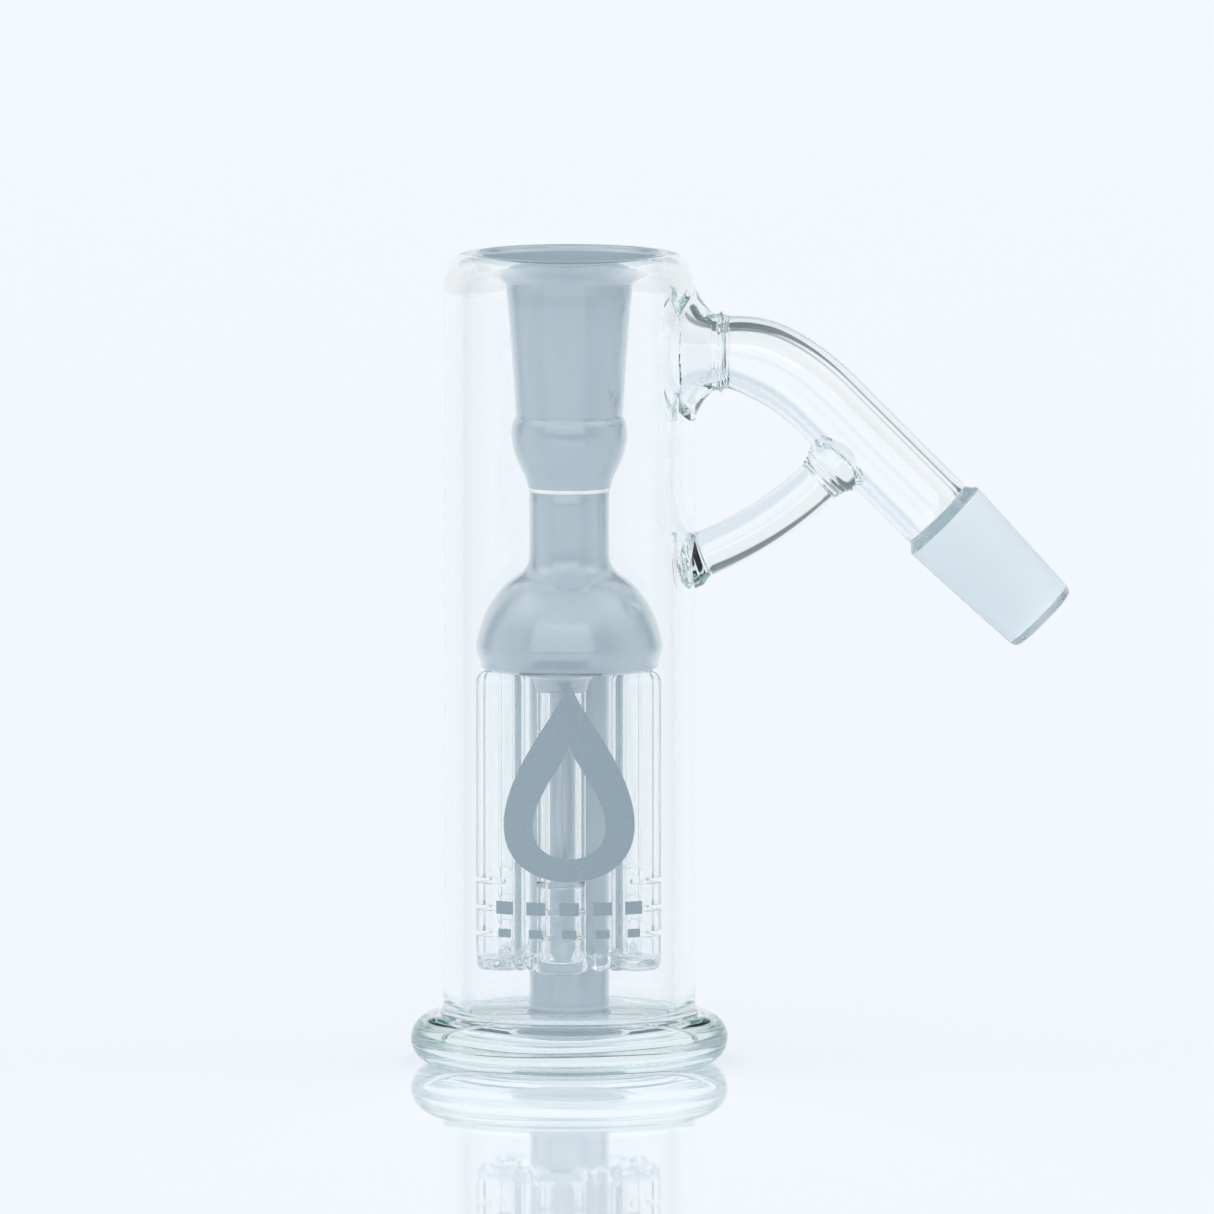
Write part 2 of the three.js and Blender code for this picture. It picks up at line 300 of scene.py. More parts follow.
def add_node(tree, kind, **values):
    """A node with its properties, or else its inputs, set by name."""
    node = tree.nodes.new(kind)
    for key, value in values.items():
        if hasattr(node, key):
            setattr(node, key, value)
        else:
            node.inputs[key.replace("_", " ")].default_value = value
    return node


def ripple(tree, shader, stretch, scale, strength, distance):
    """Fine hand-drawn unevenness as bump, stretched along one direction."""
    place = add_node(tree, "ShaderNodeTexCoord")
    squeeze = add_node(tree, "ShaderNodeMapping")
    squeeze.inputs["Scale"].default_value = stretch
    noise = add_node(tree, "ShaderNodeTexNoise", Scale=scale, Detail=3.0)
    bump = add_node(tree, "ShaderNodeBump", Strength=strength, Distance=distance)
    tree.links.new(place.outputs["Object"], squeeze.inputs["Vector"])
    tree.links.new(squeeze.outputs["Vector"], noise.inputs["Vector"])
    tree.links.new(noise.outputs["Fac"], bump.inputs["Height"])
    tree.links.new(bump.outputs["Normal"], shader.inputs["Normal"])
    return noise


def tint(tree, shader, noise, dark, light):
    """Colour that drifts between two shades over the middle of the noise's range."""
    ramp = add_node(tree, "ShaderNodeValToRGB")
    for element, position, colour in zip(ramp.color_ramp.elements, (0.3, 0.7), (dark, light)):
        element.position = position
        element.color = (*colour, 1)
    tree.links.new(noise.outputs["Fac"], ramp.inputs["Fac"])
    tree.links.new(ramp.outputs["Color"], shader.inputs["Base Color"])


def clear_glass():
    """Colourless glass with drawing marks along Z and a faint green in its depth."""
    sockets = {"Transmission Weight": 1.0, "Roughness": 0.0, "IOR": GLASS_IOR}
    material, tree, shader = new_material("clear_glass", sockets)
    noise = ripple(tree, shader, stretch=(1, 1, 0.12), scale=45, strength=0.012, distance=0.0004)
    tint(tree, shader, noise, dark=(0.992, 0.996, 0.997), light=(1.0, 1.0, 1.0))
    depth = add_node(tree, "ShaderNodeVolumeAbsorption", Density=14.0)
    depth.inputs["Color"].default_value = (0.84, 0.94, 0.93, 1)
    tree.links.new(depth.outputs[0], tree.nodes["Material Output"].inputs["Volume"])
    return material


def milky_glass():
    """Opaque blue-grey glass under a clear polished skin."""
    sockets = {"Roughness": 0.1, "IOR": 1.75, "Specular IOR Level": 0.8, "Coat Weight": 1.0,
               "Coat Roughness": 0.02, "Sheen Weight": 0.8, "Sheen Roughness": 0.35}
    material, tree, shader = new_material("milky_glass", sockets)
    noise = ripple(tree, shader, stretch=(1, 1, 0.5), scale=120, strength=0.08, distance=0.0003)
    tint(tree, shader, noise, dark=(0.36, 0.45, 0.505), light=(0.39, 0.48, 0.535))
    return material


def ground_glass():
    """The ground cone: a fine, even, white grain."""
    sockets = {"Transmission Weight": 0.3, "Roughness": 0.5, "IOR": GLASS_IOR}
    material, tree, shader = new_material("ground_glass", sockets)
    noise = ripple(tree, shader, stretch=(1, 1, 1), scale=3000, strength=0.25, distance=0.00005)
    tint(tree, shader, noise, dark=(0.85, 0.905, 0.935), light=(0.9, 0.945, 0.97))
    return material


def fired_print():
    """The matt grey-blue enamel of the printed mark."""
    material, tree, shader = new_material("fired_print", {"Roughness": 0.45})
    noise = ripple(tree, shader, stretch=(1, 1, 1), scale=2500, strength=0.1, distance=0.00003)
    tint(tree, shader, noise, dark=(0.275, 0.35, 0.39), light=(0.305, 0.385, 0.43))
    return material


def seam_glass():
    """The pale line where the bulb was joined to the neck."""
    material, tree, shader = new_material("seam_glass", {"Roughness": 0.2})
    noise = ripple(tree, shader, stretch=(1, 1, 1), scale=500, strength=0.1, distance=0.0001)
    tint(tree, shader, noise, dark=(0.86, 0.87, 0.84), light=(0.97, 0.96, 0.92))
    return material


CLEAR = clear_glass()
SEAM = seam_glass()
MILKY = milky_glass()
GROUND = ground_glass()
PRINT = fired_print()


# ---- camera: metres, degrees, and millimetres on the sensor ---------------------
VIEW_ELEVATION = 5.75
VIEW_DISTANCE = 4.5
VIEW_TARGET = Vector((5.8, 0, 70.5)) * MM
VIEW_WIDTH = 0.1868
SENSOR_WIDTH = 36
CLIP_END = 100


def add_camera():
    camera = bpy.data.objects.new("camera", bpy.data.cameras.new("camera"))
    bpy.context.scene.collection.objects.link(camera)
    bpy.context.scene.camera = camera
    tilt = math.radians(VIEW_ELEVATION)
    back = Vector((0, -math.cos(tilt), math.sin(tilt)))
    camera.location = VIEW_TARGET + back * VIEW_DISTANCE
    camera.rotation_euler = (math.pi / 2 - tilt, 0, 0)
    camera.data.sensor_width = SENSOR_WIDTH
    camera.data.lens = SENSOR_WIDTH * VIEW_DISTANCE / VIEW_WIDTH
    camera.data.clip_end = CLIP_END


# ---- stage and light ----------------------------------------------------------
# Colours and levels of the surroundings.
SKY = (0.915, 0.945, 0.975)
DIM_SKY = (0.6, 0.86, 1.0)
FULL_SKY = 0.8
BACK_LEVEL = 0.89
SIDE_LEVEL = 0.3
TOP_LEVEL = 1.1
FRONT_LEVEL = 0.62
FRONT_MIDDLE_SHARE = 0.35
LAMP_LEVEL = 0.66
CARD_DEPTH = 0.78
# Where each light fades. Sides are radians round from straight behind the object, apart from
# the lamp's, which count from straight in front of it, towards +X. The other pairs are the
# direction's Z: 0 on the horizon, 1 overhead.
TOP_START = (0.3, 0.8)
BACK_SIDES = (0.82, 1.1)
BACK_TOP = (0.6, 0.85)
FRONT_SIDES = (1.15, 1.45)
FRONT_MIDDLE = (1.8, 2.4)
FRONT_TOP = (0.75, 0.97)
CARD_SIDES = (0.45, 0.7)
CARD_BOTTOM = (0.27, 0.37)
LAMP_SIDES = (-0.85, 0.5)
LAMP_SIDE_BLUR = 0.06
LAMP_HEIGHT = (0.1, 0.66)
LAMP_HEIGHT_BLUR = 0.04

FLOOR_HALF = 8000
FLOOR_LEVEL = -0.05
FLOOR_COLOUR = (0.84, 0.875, 0.91)
FLOOR_ROUGHNESS = 0.02
FLOOR_IOR = 2.0
FLOOR_GLOW = 0.1

LIGHT_BOUNCES = 64
GLOSSY_BOUNCES = 48
DIFFUSE_BOUNCES = 4


def math_node(tree, operation, *inputs):
    """A maths node fed by sockets or plain numbers; returns its output."""
    node = add_node(tree, "ShaderNodeMath", operation=operation)
    for socket, value in zip(node.inputs, inputs):
        if isinstance(value, (int, float)):
            socket.default_value = value
        else:
            tree.links.new(value, socket)
    return node.outputs[0]


def fade(tree, value, span, before=0.0, after=1.0):
    """Smooth step of value: before at the span's start, after at its end."""
    node = add_node(tree, "ShaderNodeMapRange", interpolation_type="SMOOTHSTEP")
    tree.links.new(value, node.inputs["Value"])
    settings = {"From Min": span[0], "From Max": span[1], "To Min": before, "To Max": after}
    for name, number in settings.items():
        node.inputs[name].default_value = number
    return node.outputs[0]


def window(tree, value, span, blur):
    """1 inside the span, soft at both edges."""
    start, end = span
    rise = fade(tree, value, (start - blur, start + blur))
    fall = fade(tree, value, (end - blur, end + blur), 1.0, 0.0)
    return math_node(tree, "MULTIPLY", rise, fall)


def sky_strength(tree, x, y, z):
    """How bright the surroundings are in the direction (x, y, z)."""
    def product(a, b):
        return math_node(tree, "MULTIPLY", a, b)

    def rest_of(share):
        return math_node(tree, "SUBTRACT", 1.0, share)

    ring = fade(tree, z, TOP_START, SIDE_LEVEL, TOP_LEVEL)
    aside = math_node(tree, "ARCTAN2", math_node(tree, "ABSOLUTE", x), y)
    back = product(fade(tree, aside, BACK_SIDES, BACK_LEVEL, 0.0), fade(tree, z, BACK_TOP, 1.0, 0.0))
    front = product(fade(tree, aside, FRONT_SIDES, 0.0, FRONT_LEVEL), fade(tree, z, FRONT_TOP, 1.0, 0.0))
    front = product(front, fade(tree, aside, FRONT_MIDDLE, 1.0, FRONT_MIDDLE_SHARE))
    strength = math_node(tree, "MULTIPLY_ADD", back, rest_of(ring), ring)
    strength = math_node(tree, "ADD", strength, front)
    card = product(fade(tree, aside, CARD_SIDES, CARD_DEPTH, 0.0), fade(tree, z, CARD_BOTTOM))
    strength = product(strength, rest_of(card))
    turn = math_node(tree, "ARCTAN2", x, product(y, -1.0))
    lamp = product(window(tree, turn, LAMP_SIDES, LAMP_SIDE_BLUR),
                   window(tree, z, LAMP_HEIGHT, LAMP_HEIGHT_BLUR))
    return math_node(tree, "MULTIPLY_ADD", lamp, LAMP_LEVEL, strength)


def add_sky():
    """Pale soft surroundings that need no lamps.

    They are bright behind the object, dim at its sides, pale above and in front. A darker
    card high behind the object and a broad lamp before it draw the glass's edges.
    """
    world = bpy.data.worlds.new("surroundings")
    bpy.context.scene.world = world
    world.use_nodes = True
    tree = world.node_tree
    tree.nodes.clear()
    output = add_node(tree, "ShaderNodeOutputWorld")
    background = add_node(tree, "ShaderNodeBackground")
    place = add_node(tree, "ShaderNodeTexCoord")
    split = add_node(tree, "ShaderNodeSeparateXYZ")
    tree.links.new(place.outputs["Generated"], split.inputs["Vector"])
    strength = sky_strength(tree, *(split.outputs[axis] for axis in "XYZ"))
    hue = add_node(tree, "ShaderNodeValToRGB")
    hue.color_ramp.elements[0].color = (*DIM_SKY, 1)
    hue.color_ramp.elements[1].color = (*SKY, 1)
    hue.color_ramp.elements[1].position = FULL_SKY
    tree.links.new(strength, hue.inputs["Fac"])
    tree.links.new(hue.outputs["Color"], background.inputs["Color"])
    tree.links.new(strength, background.inputs["Strength"])
    tree.links.new(background.outputs[0], output.inputs["Surface"])


def add_floor():
    """A plain, pale, slightly mirroring floor just below the foot."""
    half = FLOOR_HALF
    sides = ((-half, -half), (half, -half), (half, half), (-half, half))
    corners = [(x, y, FLOOR_LEVEL) for x, y in sides]
    floor = mesh_object("floor", corners, [(0, 1, 2, 3)])
    sockets = {"Base Color": (*FLOOR_COLOUR, 1), "Emission Color": (*SKY, 1),
               "Emission Strength": FLOOR_GLOW, "Roughness": FLOOR_ROUGHNESS, "IOR": FLOOR_IOR}
    floor.data.materials.append(new_material("floor", sockets)[0])


def add_stage():
    add_sky()
    add_floor()
    scene = bpy.context.scene
    scene.view_settings.view_transform = "Standard"
    # With no blur, the light's highlights on inner pieces show through the glass round them.
    scene.cycles.blur_glossy = 0.0
    scene.cycles.max_bounces = LIGHT_BOUNCES
    scene.cycles.transmission_bounces = LIGHT_BOUNCES
    scene.cycles.glossy_bounces = GLOSSY_BOUNCES
    scene.cycles.diffuse_bounces = DIFFUSE_BOUNCES


# ---- fused clear body ---------------------------------------------------------
BODY_SHARP = 30
WALL_OVERLAP = 0.08


def can_profile():
    """Punt, foot, can and shoulder on the outside; mouth, wall and rounded corner inside."""
    nose = FOOT_THICK / 2
    steps = 16
    outside = [(PUNT_R * i / steps, PUNT_DEPTH * (1 - 0.5 * (i / steps) ** 2)) for i in range(steps)]
    outside += smooth([(PUNT_R - 0.3, PUNT_DEPTH * 0.5), (PUNT_R, PUNT_DEPTH * 0.3),
                       (PUNT_R + 0.15, 0.1), (PUNT_R + 0.45, 0.0), (PUNT_R + 1.2, 0.0)], 4)
    outside += arc(FOOT_R - nose, nose, nose, nose, -90, 84, 48)
    outside += smooth([(20.6, FOOT_THICK + 0.02), (20.0, FOOT_THICK + 0.2),
                       (19.65, FOOT_THICK + 0.7), (CAN_R, FOOT_THICK + 1.8)], 5)
    outside += dense([(CAN_R, FOOT_THICK + 3.4), (CAN_R, SHOULDER_Z)], 1.0)
    outside += arc(CAN_R - SHOULDER_INSET, SHOULDER_Z, SHOULDER_INSET, SHOULDER_RISE, 4, 86, 18)
    inside = arc(MOUTH_R - 0.6, MOUTH_TOP - 0.75, 0.5, 0.6, 80, 180, 5)
    inside += smooth([(MOUTH_R - 0.7, MOUTH_TOP - 2.2), (CAN_INNER_R - 0.6, 121.6),
                      (CAN_INNER_R - 0.1, 120.0), (CAN_INNER_R, 118.6)], 5)
    inside += dense([(CAN_INNER_R, 118.0), (CAN_INNER_R, FLOOR_Z + CORNER_R + 0.2)], 1.0)
    inside += arc(CAN_INNER_R - CORNER_R, FLOOR_Z + CORNER_R, CORNER_R, CORNER_R, 0, -90, 14)
    inside += dense([(CAN_INNER_R - CORNER_R - 0.3, FLOOR_Z), (1.0, FLOOR_Z)], 2.0)
    return outside + inside + [(0.0, FLOOR_Z)]


def trumpet(name, wall_r, root_x, end_x, shape):
    """A bell that leaves the can's round wall at a tangent and narrows to the tube.

    shape holds radii, each with its share of the way from the wall to end_x.
    """
    sides = 96
    rings = [(shape[0][0], None)] + smooth(shape, 4)
    vertices = []
    for radius, share in rings:
        for j in range(sides):
            angle = 2 * math.pi * j / sides
            y = radius * math.cos(angle)
            wall_x = math.sqrt(wall_r**2 - y * y) - WALL_OVERLAP
            x = root_x if share is None else wall_x + (end_x - wall_x) * share
            vertices.append((x, y, OUTLET_Z + radius * math.sin(angle)))
    faces = grid_faces(len(rings), sides)
    cap(vertices, faces, (root_x, 0, OUTLET_Z), 0, sides)
    cap(vertices, faces, (end_x, 0, OUTLET_Z), (len(rings) - 1) * sides, sides)
    return mesh_object(name, vertices, faces, CLEAR)


def flare_solid():
    """The outside of the outlet's weld."""
    shape = [(10.6, 0.0), (9.9, 0.06), (9.0, 0.2), (8.0, 0.42), (7.0, 0.7), (6.15, 1.0)]
    return trumpet("flare", wall_r=CAN_R, root_x=15.4, end_x=RING_X - 0.85, shape=shape)


def flare_bore():
    """The inside of the outlet's weld."""
    shape = [(8.7, 0.0), (7.9, 0.03), (7.0, 0.12), (6.0, 0.3), (5.0, 0.58), (4.0, 1.0)]
    return trumpet("flare_bore", wall_r=CAN_INNER_R, root_x=11.0, end_x=21.2, shape=shape)


def outlet_centres(start_x, finish):
    """The outlet's centre line: straight, a bend to 45 degrees, and straight down to finish.

    finish is a distance along the cone's axis, from the cone's large end.
    """
    corner = Vector((CONE_START.x + CONE_START.z - OUTLET_Z, 0, OUTLET_Z))
    bend_start = Vector((BEND_START_X, 0, OUTLET_Z))
    bend_end = corner + DOWN45 * (corner.x - bend_start.x) * BEND_STRETCH
    count = max(2, round((bend_start.x - start_x) / OUTLET_STEP))
    points = [Vector((start_x + (bend_start.x - start_x) * i / count, 0, OUTLET_Z))
              for i in range(count + 1)]
    bend_steps = 24
    for i in range(1, bend_steps + 1):
        t = i / bend_steps
        points.append(bend_start * (1 - t) ** 2 + corner * 2 * t * (1 - t) + bend_end * t * t)
    end = CONE_START + DOWN45 * finish
    count = round((end - bend_end).length / OUTLET_STEP)
    points += [bend_end.lerp(end, i / count) for i in range(1, count + 1)]
    return points


def cone_distance(point):
    """How far along the cone's axis a point is, from the cone's large end."""
    return (point - CONE_START).dot(DOWN45)


def outlet_radii(centres, by_x, by_cone):
    """Radii from two lists: by X as far as by_x goes, then by distance along the cone."""
    last_x = by_x[-1][0]
    return [level(by_x, c.x) if c.x < last_x else level(by_cone, cone_distance(c)) for c in centres]


def outlet_solid():
    """Tube, seam ring, ground cone with its collar, and tip."""
    small = CONE_LARGE_R - CONE_TAPER * CONE_LENGTH
    by_cone = [(-3.2, OUTLET_R), (-2.2, OUTLET_R - 0.05), (-1.5, OUTLET_R - 0.2),
               (-0.7, OUTLET_R + 0.35), (-0.25, CONE_LARGE_R - 0.12), (0, CONE_LARGE_R),
               (CONE_LENGTH, small), (CONE_LENGTH + 0.3, small - 0.12),
               (TIP_END - 0.4, small - 0.25), (TIP_END - 0.12, small - 0.4),
               (TIP_END, small - 0.75)]
    by_x = [(RING_X - 0.8, 6.02), (RING_X + 0.1, 5.85), (RING_X + 0.4, 6.2), (RING_X + 0.65, 6.25),
            (RING_X + 1.0, 5.8), (RING_X + 1.9, 5.6), (RING_X + 4.0, 5.85), (30, OUTLET_R)]
    centres = outlet_centres(start_x=17.0, finish=TIP_END)
    solid = sweep("outlet", centres, outlet_radii(centres, by_x, by_cone), 96, CLEAR)
    solid.data.materials.append(GROUND)
    for polygon in solid.data.polygons:
        along = cone_distance(polygon.center / MM)
        if 0.05 < along < CONE_LENGTH - 0.05:
            polygon.material_index = 1
    return solid


def bore_solid():
    """The outlet's bore, pinched at the seam ring, widened at the tip and run out past it."""
    past_tip = TIP_END + 2
    by_cone = [(TIP_END - 0.9, OUTLET_BORE_R), (TIP_END - 0.2, OUTLET_BORE_R + 0.25),
               (TIP_END, OUTLET_BORE_R + 0.6), (past_tip, OUTLET_BORE_R + 0.9)]
    by_x = [(10, 4.0), (20.8, 3.95), (22.0, 3.8), (RING_X + 0.1, 3.75), (RING_X + 0.5, 3.4),
            (RING_X + 0.9, 3.65), (24.6, 3.7), (27, 4.05), (30, OUTLET_BORE_R)]
    centres = outlet_centres(start_x=10.0, finish=past_tip)
    return sweep("bore", centres, outlet_radii(centres, by_x, by_cone), 72, CLEAR)


def heading(turn):
    """The direction at turn radians from +X towards +Z."""
    return Vector((math.cos(turn), 0, math.sin(turn)))


def brace_solid():
    """The solid rod, bent upwards, and flared where it meets the can and the tube."""
    start = Vector((CAN_R, 0, BRACE_START_Z))
    centre = start + heading(math.radians(BRACE_START_ANGLE + 90)) * BRACE_BEND_R
    length = math.radians(BRACE_END_ANGLE - BRACE_START_ANGLE) * BRACE_BEND_R
    # How deep the bar starts in the can's wall, and how far it runs straight on past its bend.
    sunk = 2.2
    beyond = 6.1
    widths = [(-sunk, 4.7), (-0.2, 4.5), (0.25, 4.1), (0.6, 3.8), (1.1, 3.58), (1.8, BRACE_R),
              (length - 1.0, BRACE_R), (length + 0.4, 3.55), (length + 0.8, 3.8),
              (length + 1.1, 3.68), (length + 1.5, 4.0), (length + 1.8, 3.92), (length + 2.3, 4.35),
              (length + 2.7, 4.4), (length + 3.3, 4.9), (length + beyond, 5.1)]
    points = []
    radii = []
    steps = 200
    for i in range(steps + 1):
        distance = -sunk + (length + beyond + sunk) * i / steps
        angle = math.radians(BRACE_START_ANGLE - 90) + min(distance, length) / BRACE_BEND_R
        point = centre + heading(angle) * BRACE_BEND_R
        if distance > length:
            point += heading(math.radians(BRACE_END_ANGLE + 1)) * (distance - length)
        points.append(point)
        radii.append(level(widths, distance))
    return sweep("brace", points, radii, 64, CLEAR)


def uneven_foot(body):
    """The slight waves of a foot that was pressed and spun by hand."""
    for vertex in body.data.vertices:
        x, y, z = vertex.co / MM
        radius = math.hypot(x, y)
        if radius < WAVE_START_R or z > FOOT_THICK:
            continue
        turn = math.atan2(y, x)
        share = min(1.0, (radius - WAVE_START_R) / WAVE_RAMP)
        wide = WIDE_WAVE * math.sin(2 * turn + 0.5 * z)
        short = SHORT_WAVE * math.sin(5 * turn - 0.7 * z)
        wave = wide + short - (WIDE_WAVE + SHORT_WAVE)
        vertex.co.x += wave * share * math.cos(turn) * MM
        vertex.co.y += wave * share * math.sin(turn) * MM


def clear_body():
    """Foot, can, outlet and brace as one skin, with the outlet's bore cut through it."""
    body = lathe("clear_body", can_profile(), 256, CLEAR, BODY_SHARP)
    uneven_foot(body)
    combine(body, flare_solid(), "UNION")
    combine(body, outlet_solid(), "UNION")
    combine(body, brace_solid(), "UNION")
    combine(body, flare_bore(), "DIFFERENCE")
    combine(body, bore_solid(), "DIFFERENCE")
    shade(body, BODY_SHARP)
    return piece(body, "clear_glass", "foot_plate", "can_body", "outlet_flare", "outlet_ring",
                 "outlet_tube", "ground_cone", "brace_rod", "brace_can_weld", "brace_tube_weld")


# ---- milky inner parts ----------------------------------------------------------
def milky_socket():
    """Flared mouth, ground socket and reducing bulb, blown from one tube."""
    outside = smooth([(6.2, SEAM_BOTTOM + 0.3), (6.33, 88.9), (6.86, 90.7), (7.77, 92.6),
                      (8.48, 94.4), (8.91, 96.3), (8.94, 97.8), (8.75, 99.1), (8.32, 99.95)], 6)
    outside += smooth([(8.27, 100.4), (8.5, 103.7), (9.0, 111.2), (9.68, SOCKET_TOP),
                       (10.0, 121.3), (11.0, 122.3), (12.6, 122.95), (14.2, 123.4), (15.1, 124.0)], 6)
    rim = arc(14.75, MOUTH_TOP - 0.55, 0.5, 0.5, 0, 180, 10)
    inside = smooth([(13.9, 124.3), (12.4, 123.6), (10.2, 122.9), (8.3, 121.9), (7.4, 120.8),
                     (7.2, 119.6)], 6)
    inside += smooth([(7.1, 117.5), (6.3, 101.0), (6.6, 98.5), (6.9, 96.5), (6.4, 94.0), (5.3, 91.5),
                      (STEM_BORE_R, SEAM_TOP), (STEM_BORE_R, SEAM_BOTTOM + 0.3)], 6)
    socket = lathe("milky_socket", outside + rim + inside, 160, MILKY)
    return piece(socket, "milky_glass", "mouth_funnel", "joint_socket", "reducing_bulb")


def milky_dome():
    """Neck, dome and the plate that closes it, fused."""
    outside = smooth([(12.9, PLATE_Z - 0.15), (13.7, PLATE_Z + 0.3), (13.78, 62.3), (14.0, 63.0),
                      (14.36, 63.9), (14.47, 64.9), (14.22, 66.2), (13.54, 68.5), (12.45, 70.8),
                      (10.87, 73.1), (9.4, 74.6), (7.3, 76.1), (6.35, 77.6), (STEM_R, 79.4)], 7)
    outside += dense([(STEM_R, 80.0), (STEM_R, SEAM_BOTTOM - 0.25), (STEM_R - 0.2, SEAM_BOTTOM)], 2.0)
    inside = dense([(STEM_BORE_R, SEAM_BOTTOM), (STEM_BORE_R, 77.0)], 2.0)
    inside += smooth([(STEM_BORE_R + 0.5, 75.6), (8.6, 72.9), (11.2, 69.6), (12.3, 65.5),
                      (11.6, 63.6)], 6)
    inside += [(1.0, 63.3), (0.0, 63.3)]
    profile = [(0.0, PLATE_Z - 0.15)] + outside + inside
    dome = lathe("milky_dome", profile, 160, MILKY)
    return piece(dome, "milky_glass", "neck_tube", "dome", "dome_plate")


def seam_band():
    """The slightly raised seam between the bulb and the neck."""
    outside = smooth([(STEM_R - 0.35, SEAM_BOTTOM - 0.1), (STEM_R + 0.1, SEAM_BOTTOM + 0.05),
                      (STEM_R + 0.25, SEAM_BOTTOM + 0.4), (STEM_R + 0.2, SEAM_BOTTOM + 0.75),
                      (STEM_R - 0.05, SEAM_BOTTOM + 0.95)], 5)
    inside = [(STEM_BORE_R + 0.2, SEAM_BOTTOM + 0.9), (STEM_BORE_R + 0.2, SEAM_BOTTOM - 0.1)]
    band = lathe("seam_band", outside + inside, 128, SEAM)
    return piece(band, "clear_glass", "seam_ring")


def milky_post():
    """The solid post from the foot to the dome's plate, sunk a little into both."""
    outside = [(STEM_R - 0.3, FLOOR_Z - 0.35)]
    outside += dense([(STEM_R, FLOOR_Z - 0.1), (STEM_R, PLATE_Z + 0.3)], 2.0)
    profile = [(0.0, FLOOR_Z - 0.45)] + outside + [(0.0, PLATE_Z + 0.3)]
    post = lathe("milky_post", profile, 128, MILKY)
    return piece(post, "milky_glass", "support_post")


def over(node):
    """The move from the can's axis to the node's axis, at the same height."""
    centre = middle(node)
    return Matrix.Translation((centre.x * MM, centre.y * MM, 0))


def milky_drip():
    """Milky glass that ran down from the dome's plate over the front arm's top."""
    outside = smooth([(ARM_R - 0.35, PLATE_Z - 2.6), (ARM_R + 0.22, PLATE_Z - 2.2),
                      (ARM_R + 0.35, PLATE_Z - 1.4), (ARM_R + 1.1, PLATE_Z - 0.4),
                      (ARM_R + 2.6, PLATE_Z + 0.05)], 6)
    inside = [(ARM_R - 1.0, PLATE_Z + 0.1), (ARM_R - 0.4, PLATE_Z - 1.2)]
    drip = lathe("milky_drip", outside + inside, 96, MILKY)
    drip.data.transform(over("arm_1"))
    return piece(drip, "milky_glass")


def post_weld():
    """The clear fillet round the post's foot."""
    outside = smooth([(STEM_R + 1.4, FLOOR_Z + 0.02), (STEM_R + 0.7, FLOOR_Z + 0.2),
                      (STEM_R + 0.25, FLOOR_Z + 0.6), (STEM_R + 0.02, FLOOR_Z + 1.3)], 5)
    inside = [(STEM_R - 0.05, FLOOR_Z + 1.3), (STEM_R - 0.05, FLOOR_Z - 0.1),
              (STEM_R + 1.4, FLOOR_Z - 0.1)]
    weld = lathe("post_fillet", outside + inside, 128, CLEAR)
    return piece(weld, "clear_glass", "post_weld")


# ---- slotted arms and bridges -----------------------------------------------------
POLISH_R = 0.3
ARM_SHARP = 35
BEAD_OVERLAP = 0.25
# A bead's section swells into lobes that twist along it, in radians per metre.
LOBE_SIZE = 0.13
LOBE_COUNT = 3
LOBE_TWIST = 900


def arm_profile():
    """A tube closed by a round bottom, drawn in a little where it meets the plate."""
    outside = [(0.0, ARM_BOTTOM)]
    outside += arc(ARM_R - ARM_END_R, ARM_BOTTOM + ARM_END_R, ARM_END_R, ARM_END_R, -86, 0, 8)
    outside += dense([(ARM_R, ARM_BOTTOM + 2), (ARM_R, PLATE_Z - 2.0)], 2.0)
    outside += arc(ARM_R - ARM_END_R, PLATE_Z - 1.9, ARM_END_R, 1.75, 0, 80, 9)
    outside += [(ARM_R - 1.25, PLATE_Z + 0.15)]
    inside = [(ARM_BORE_R - 0.9, PLATE_Z + 0.15)]
    inside += arc(ARM_BORE_R - 1.0, PLATE_Z - 1.7, 1.0, 1.2, 80, 0, 6)
    inside += dense([(ARM_BORE_R, PLATE_Z - 2.0), (ARM_BORE_R, ARM_BOTTOM + 3.2)], 2.0)
    inside += arc(ARM_BORE_R - 1.0, ARM_BOTTOM + 2.6, 1.0, 1.0, 0, -86, 6)
    return outside + inside + [(0.0, ARM_BOTTOM + 1.55)]


def slot_cutter(z):
    """A saw cut with a round bottom, across the arm's +X side."""
    half = SLOT_HALF
    inner = ARM_R - SLOT_DEPTH + half
    outline = [(ARM_R + 2, half), (inner, half)]
    outline += [(inner - half * math.sin(a), half * math.cos(a))
                for a in [math.pi * i / 8 for i in range(1, 8)]]
    outline += [(inner, -half), (ARM_R + 2, -half)]
    count = len(outline)
    vertices = [(x, y, z + h) for y in (-ARM_R - 1, ARM_R + 1) for x, h in outline]
    faces = [tuple(range(count)), tuple(range(count, 2 * count))]
    faces += [(i, (i + 1) % count, count + (i + 1) % count, count + i) for i in range(count)]
    return mesh_object("cutter", vertices, faces)


def slotted_arm(name):
    """An arm with its cuts turned outwards and their edges fire-polished."""
    arm = lathe(name + "_tube", arm_profile(), 64, CLEAR)
    for z in SLOT_HEIGHTS:
        combine(arm, slot_cutter(z), "DIFFERENCE")
    bevel = arm.modifiers.new("polish", "BEVEL")
    bevel.width = POLISH_R * MM
    bevel.segments = 4
    bevel.limit_method = "ANGLE"
    bevel.angle_limit = math.radians(ARM_SHARP)
    apply_modifiers(arm)
    centre = middle(name)
    outward = math.atan2(centre.y, centre.x)
    arm.data.transform(over(name) @ Matrix.Rotation(outward, 4, "Z"))
    shade(arm, ARM_SHARP)
    return piece(arm, "clear_glass", name)


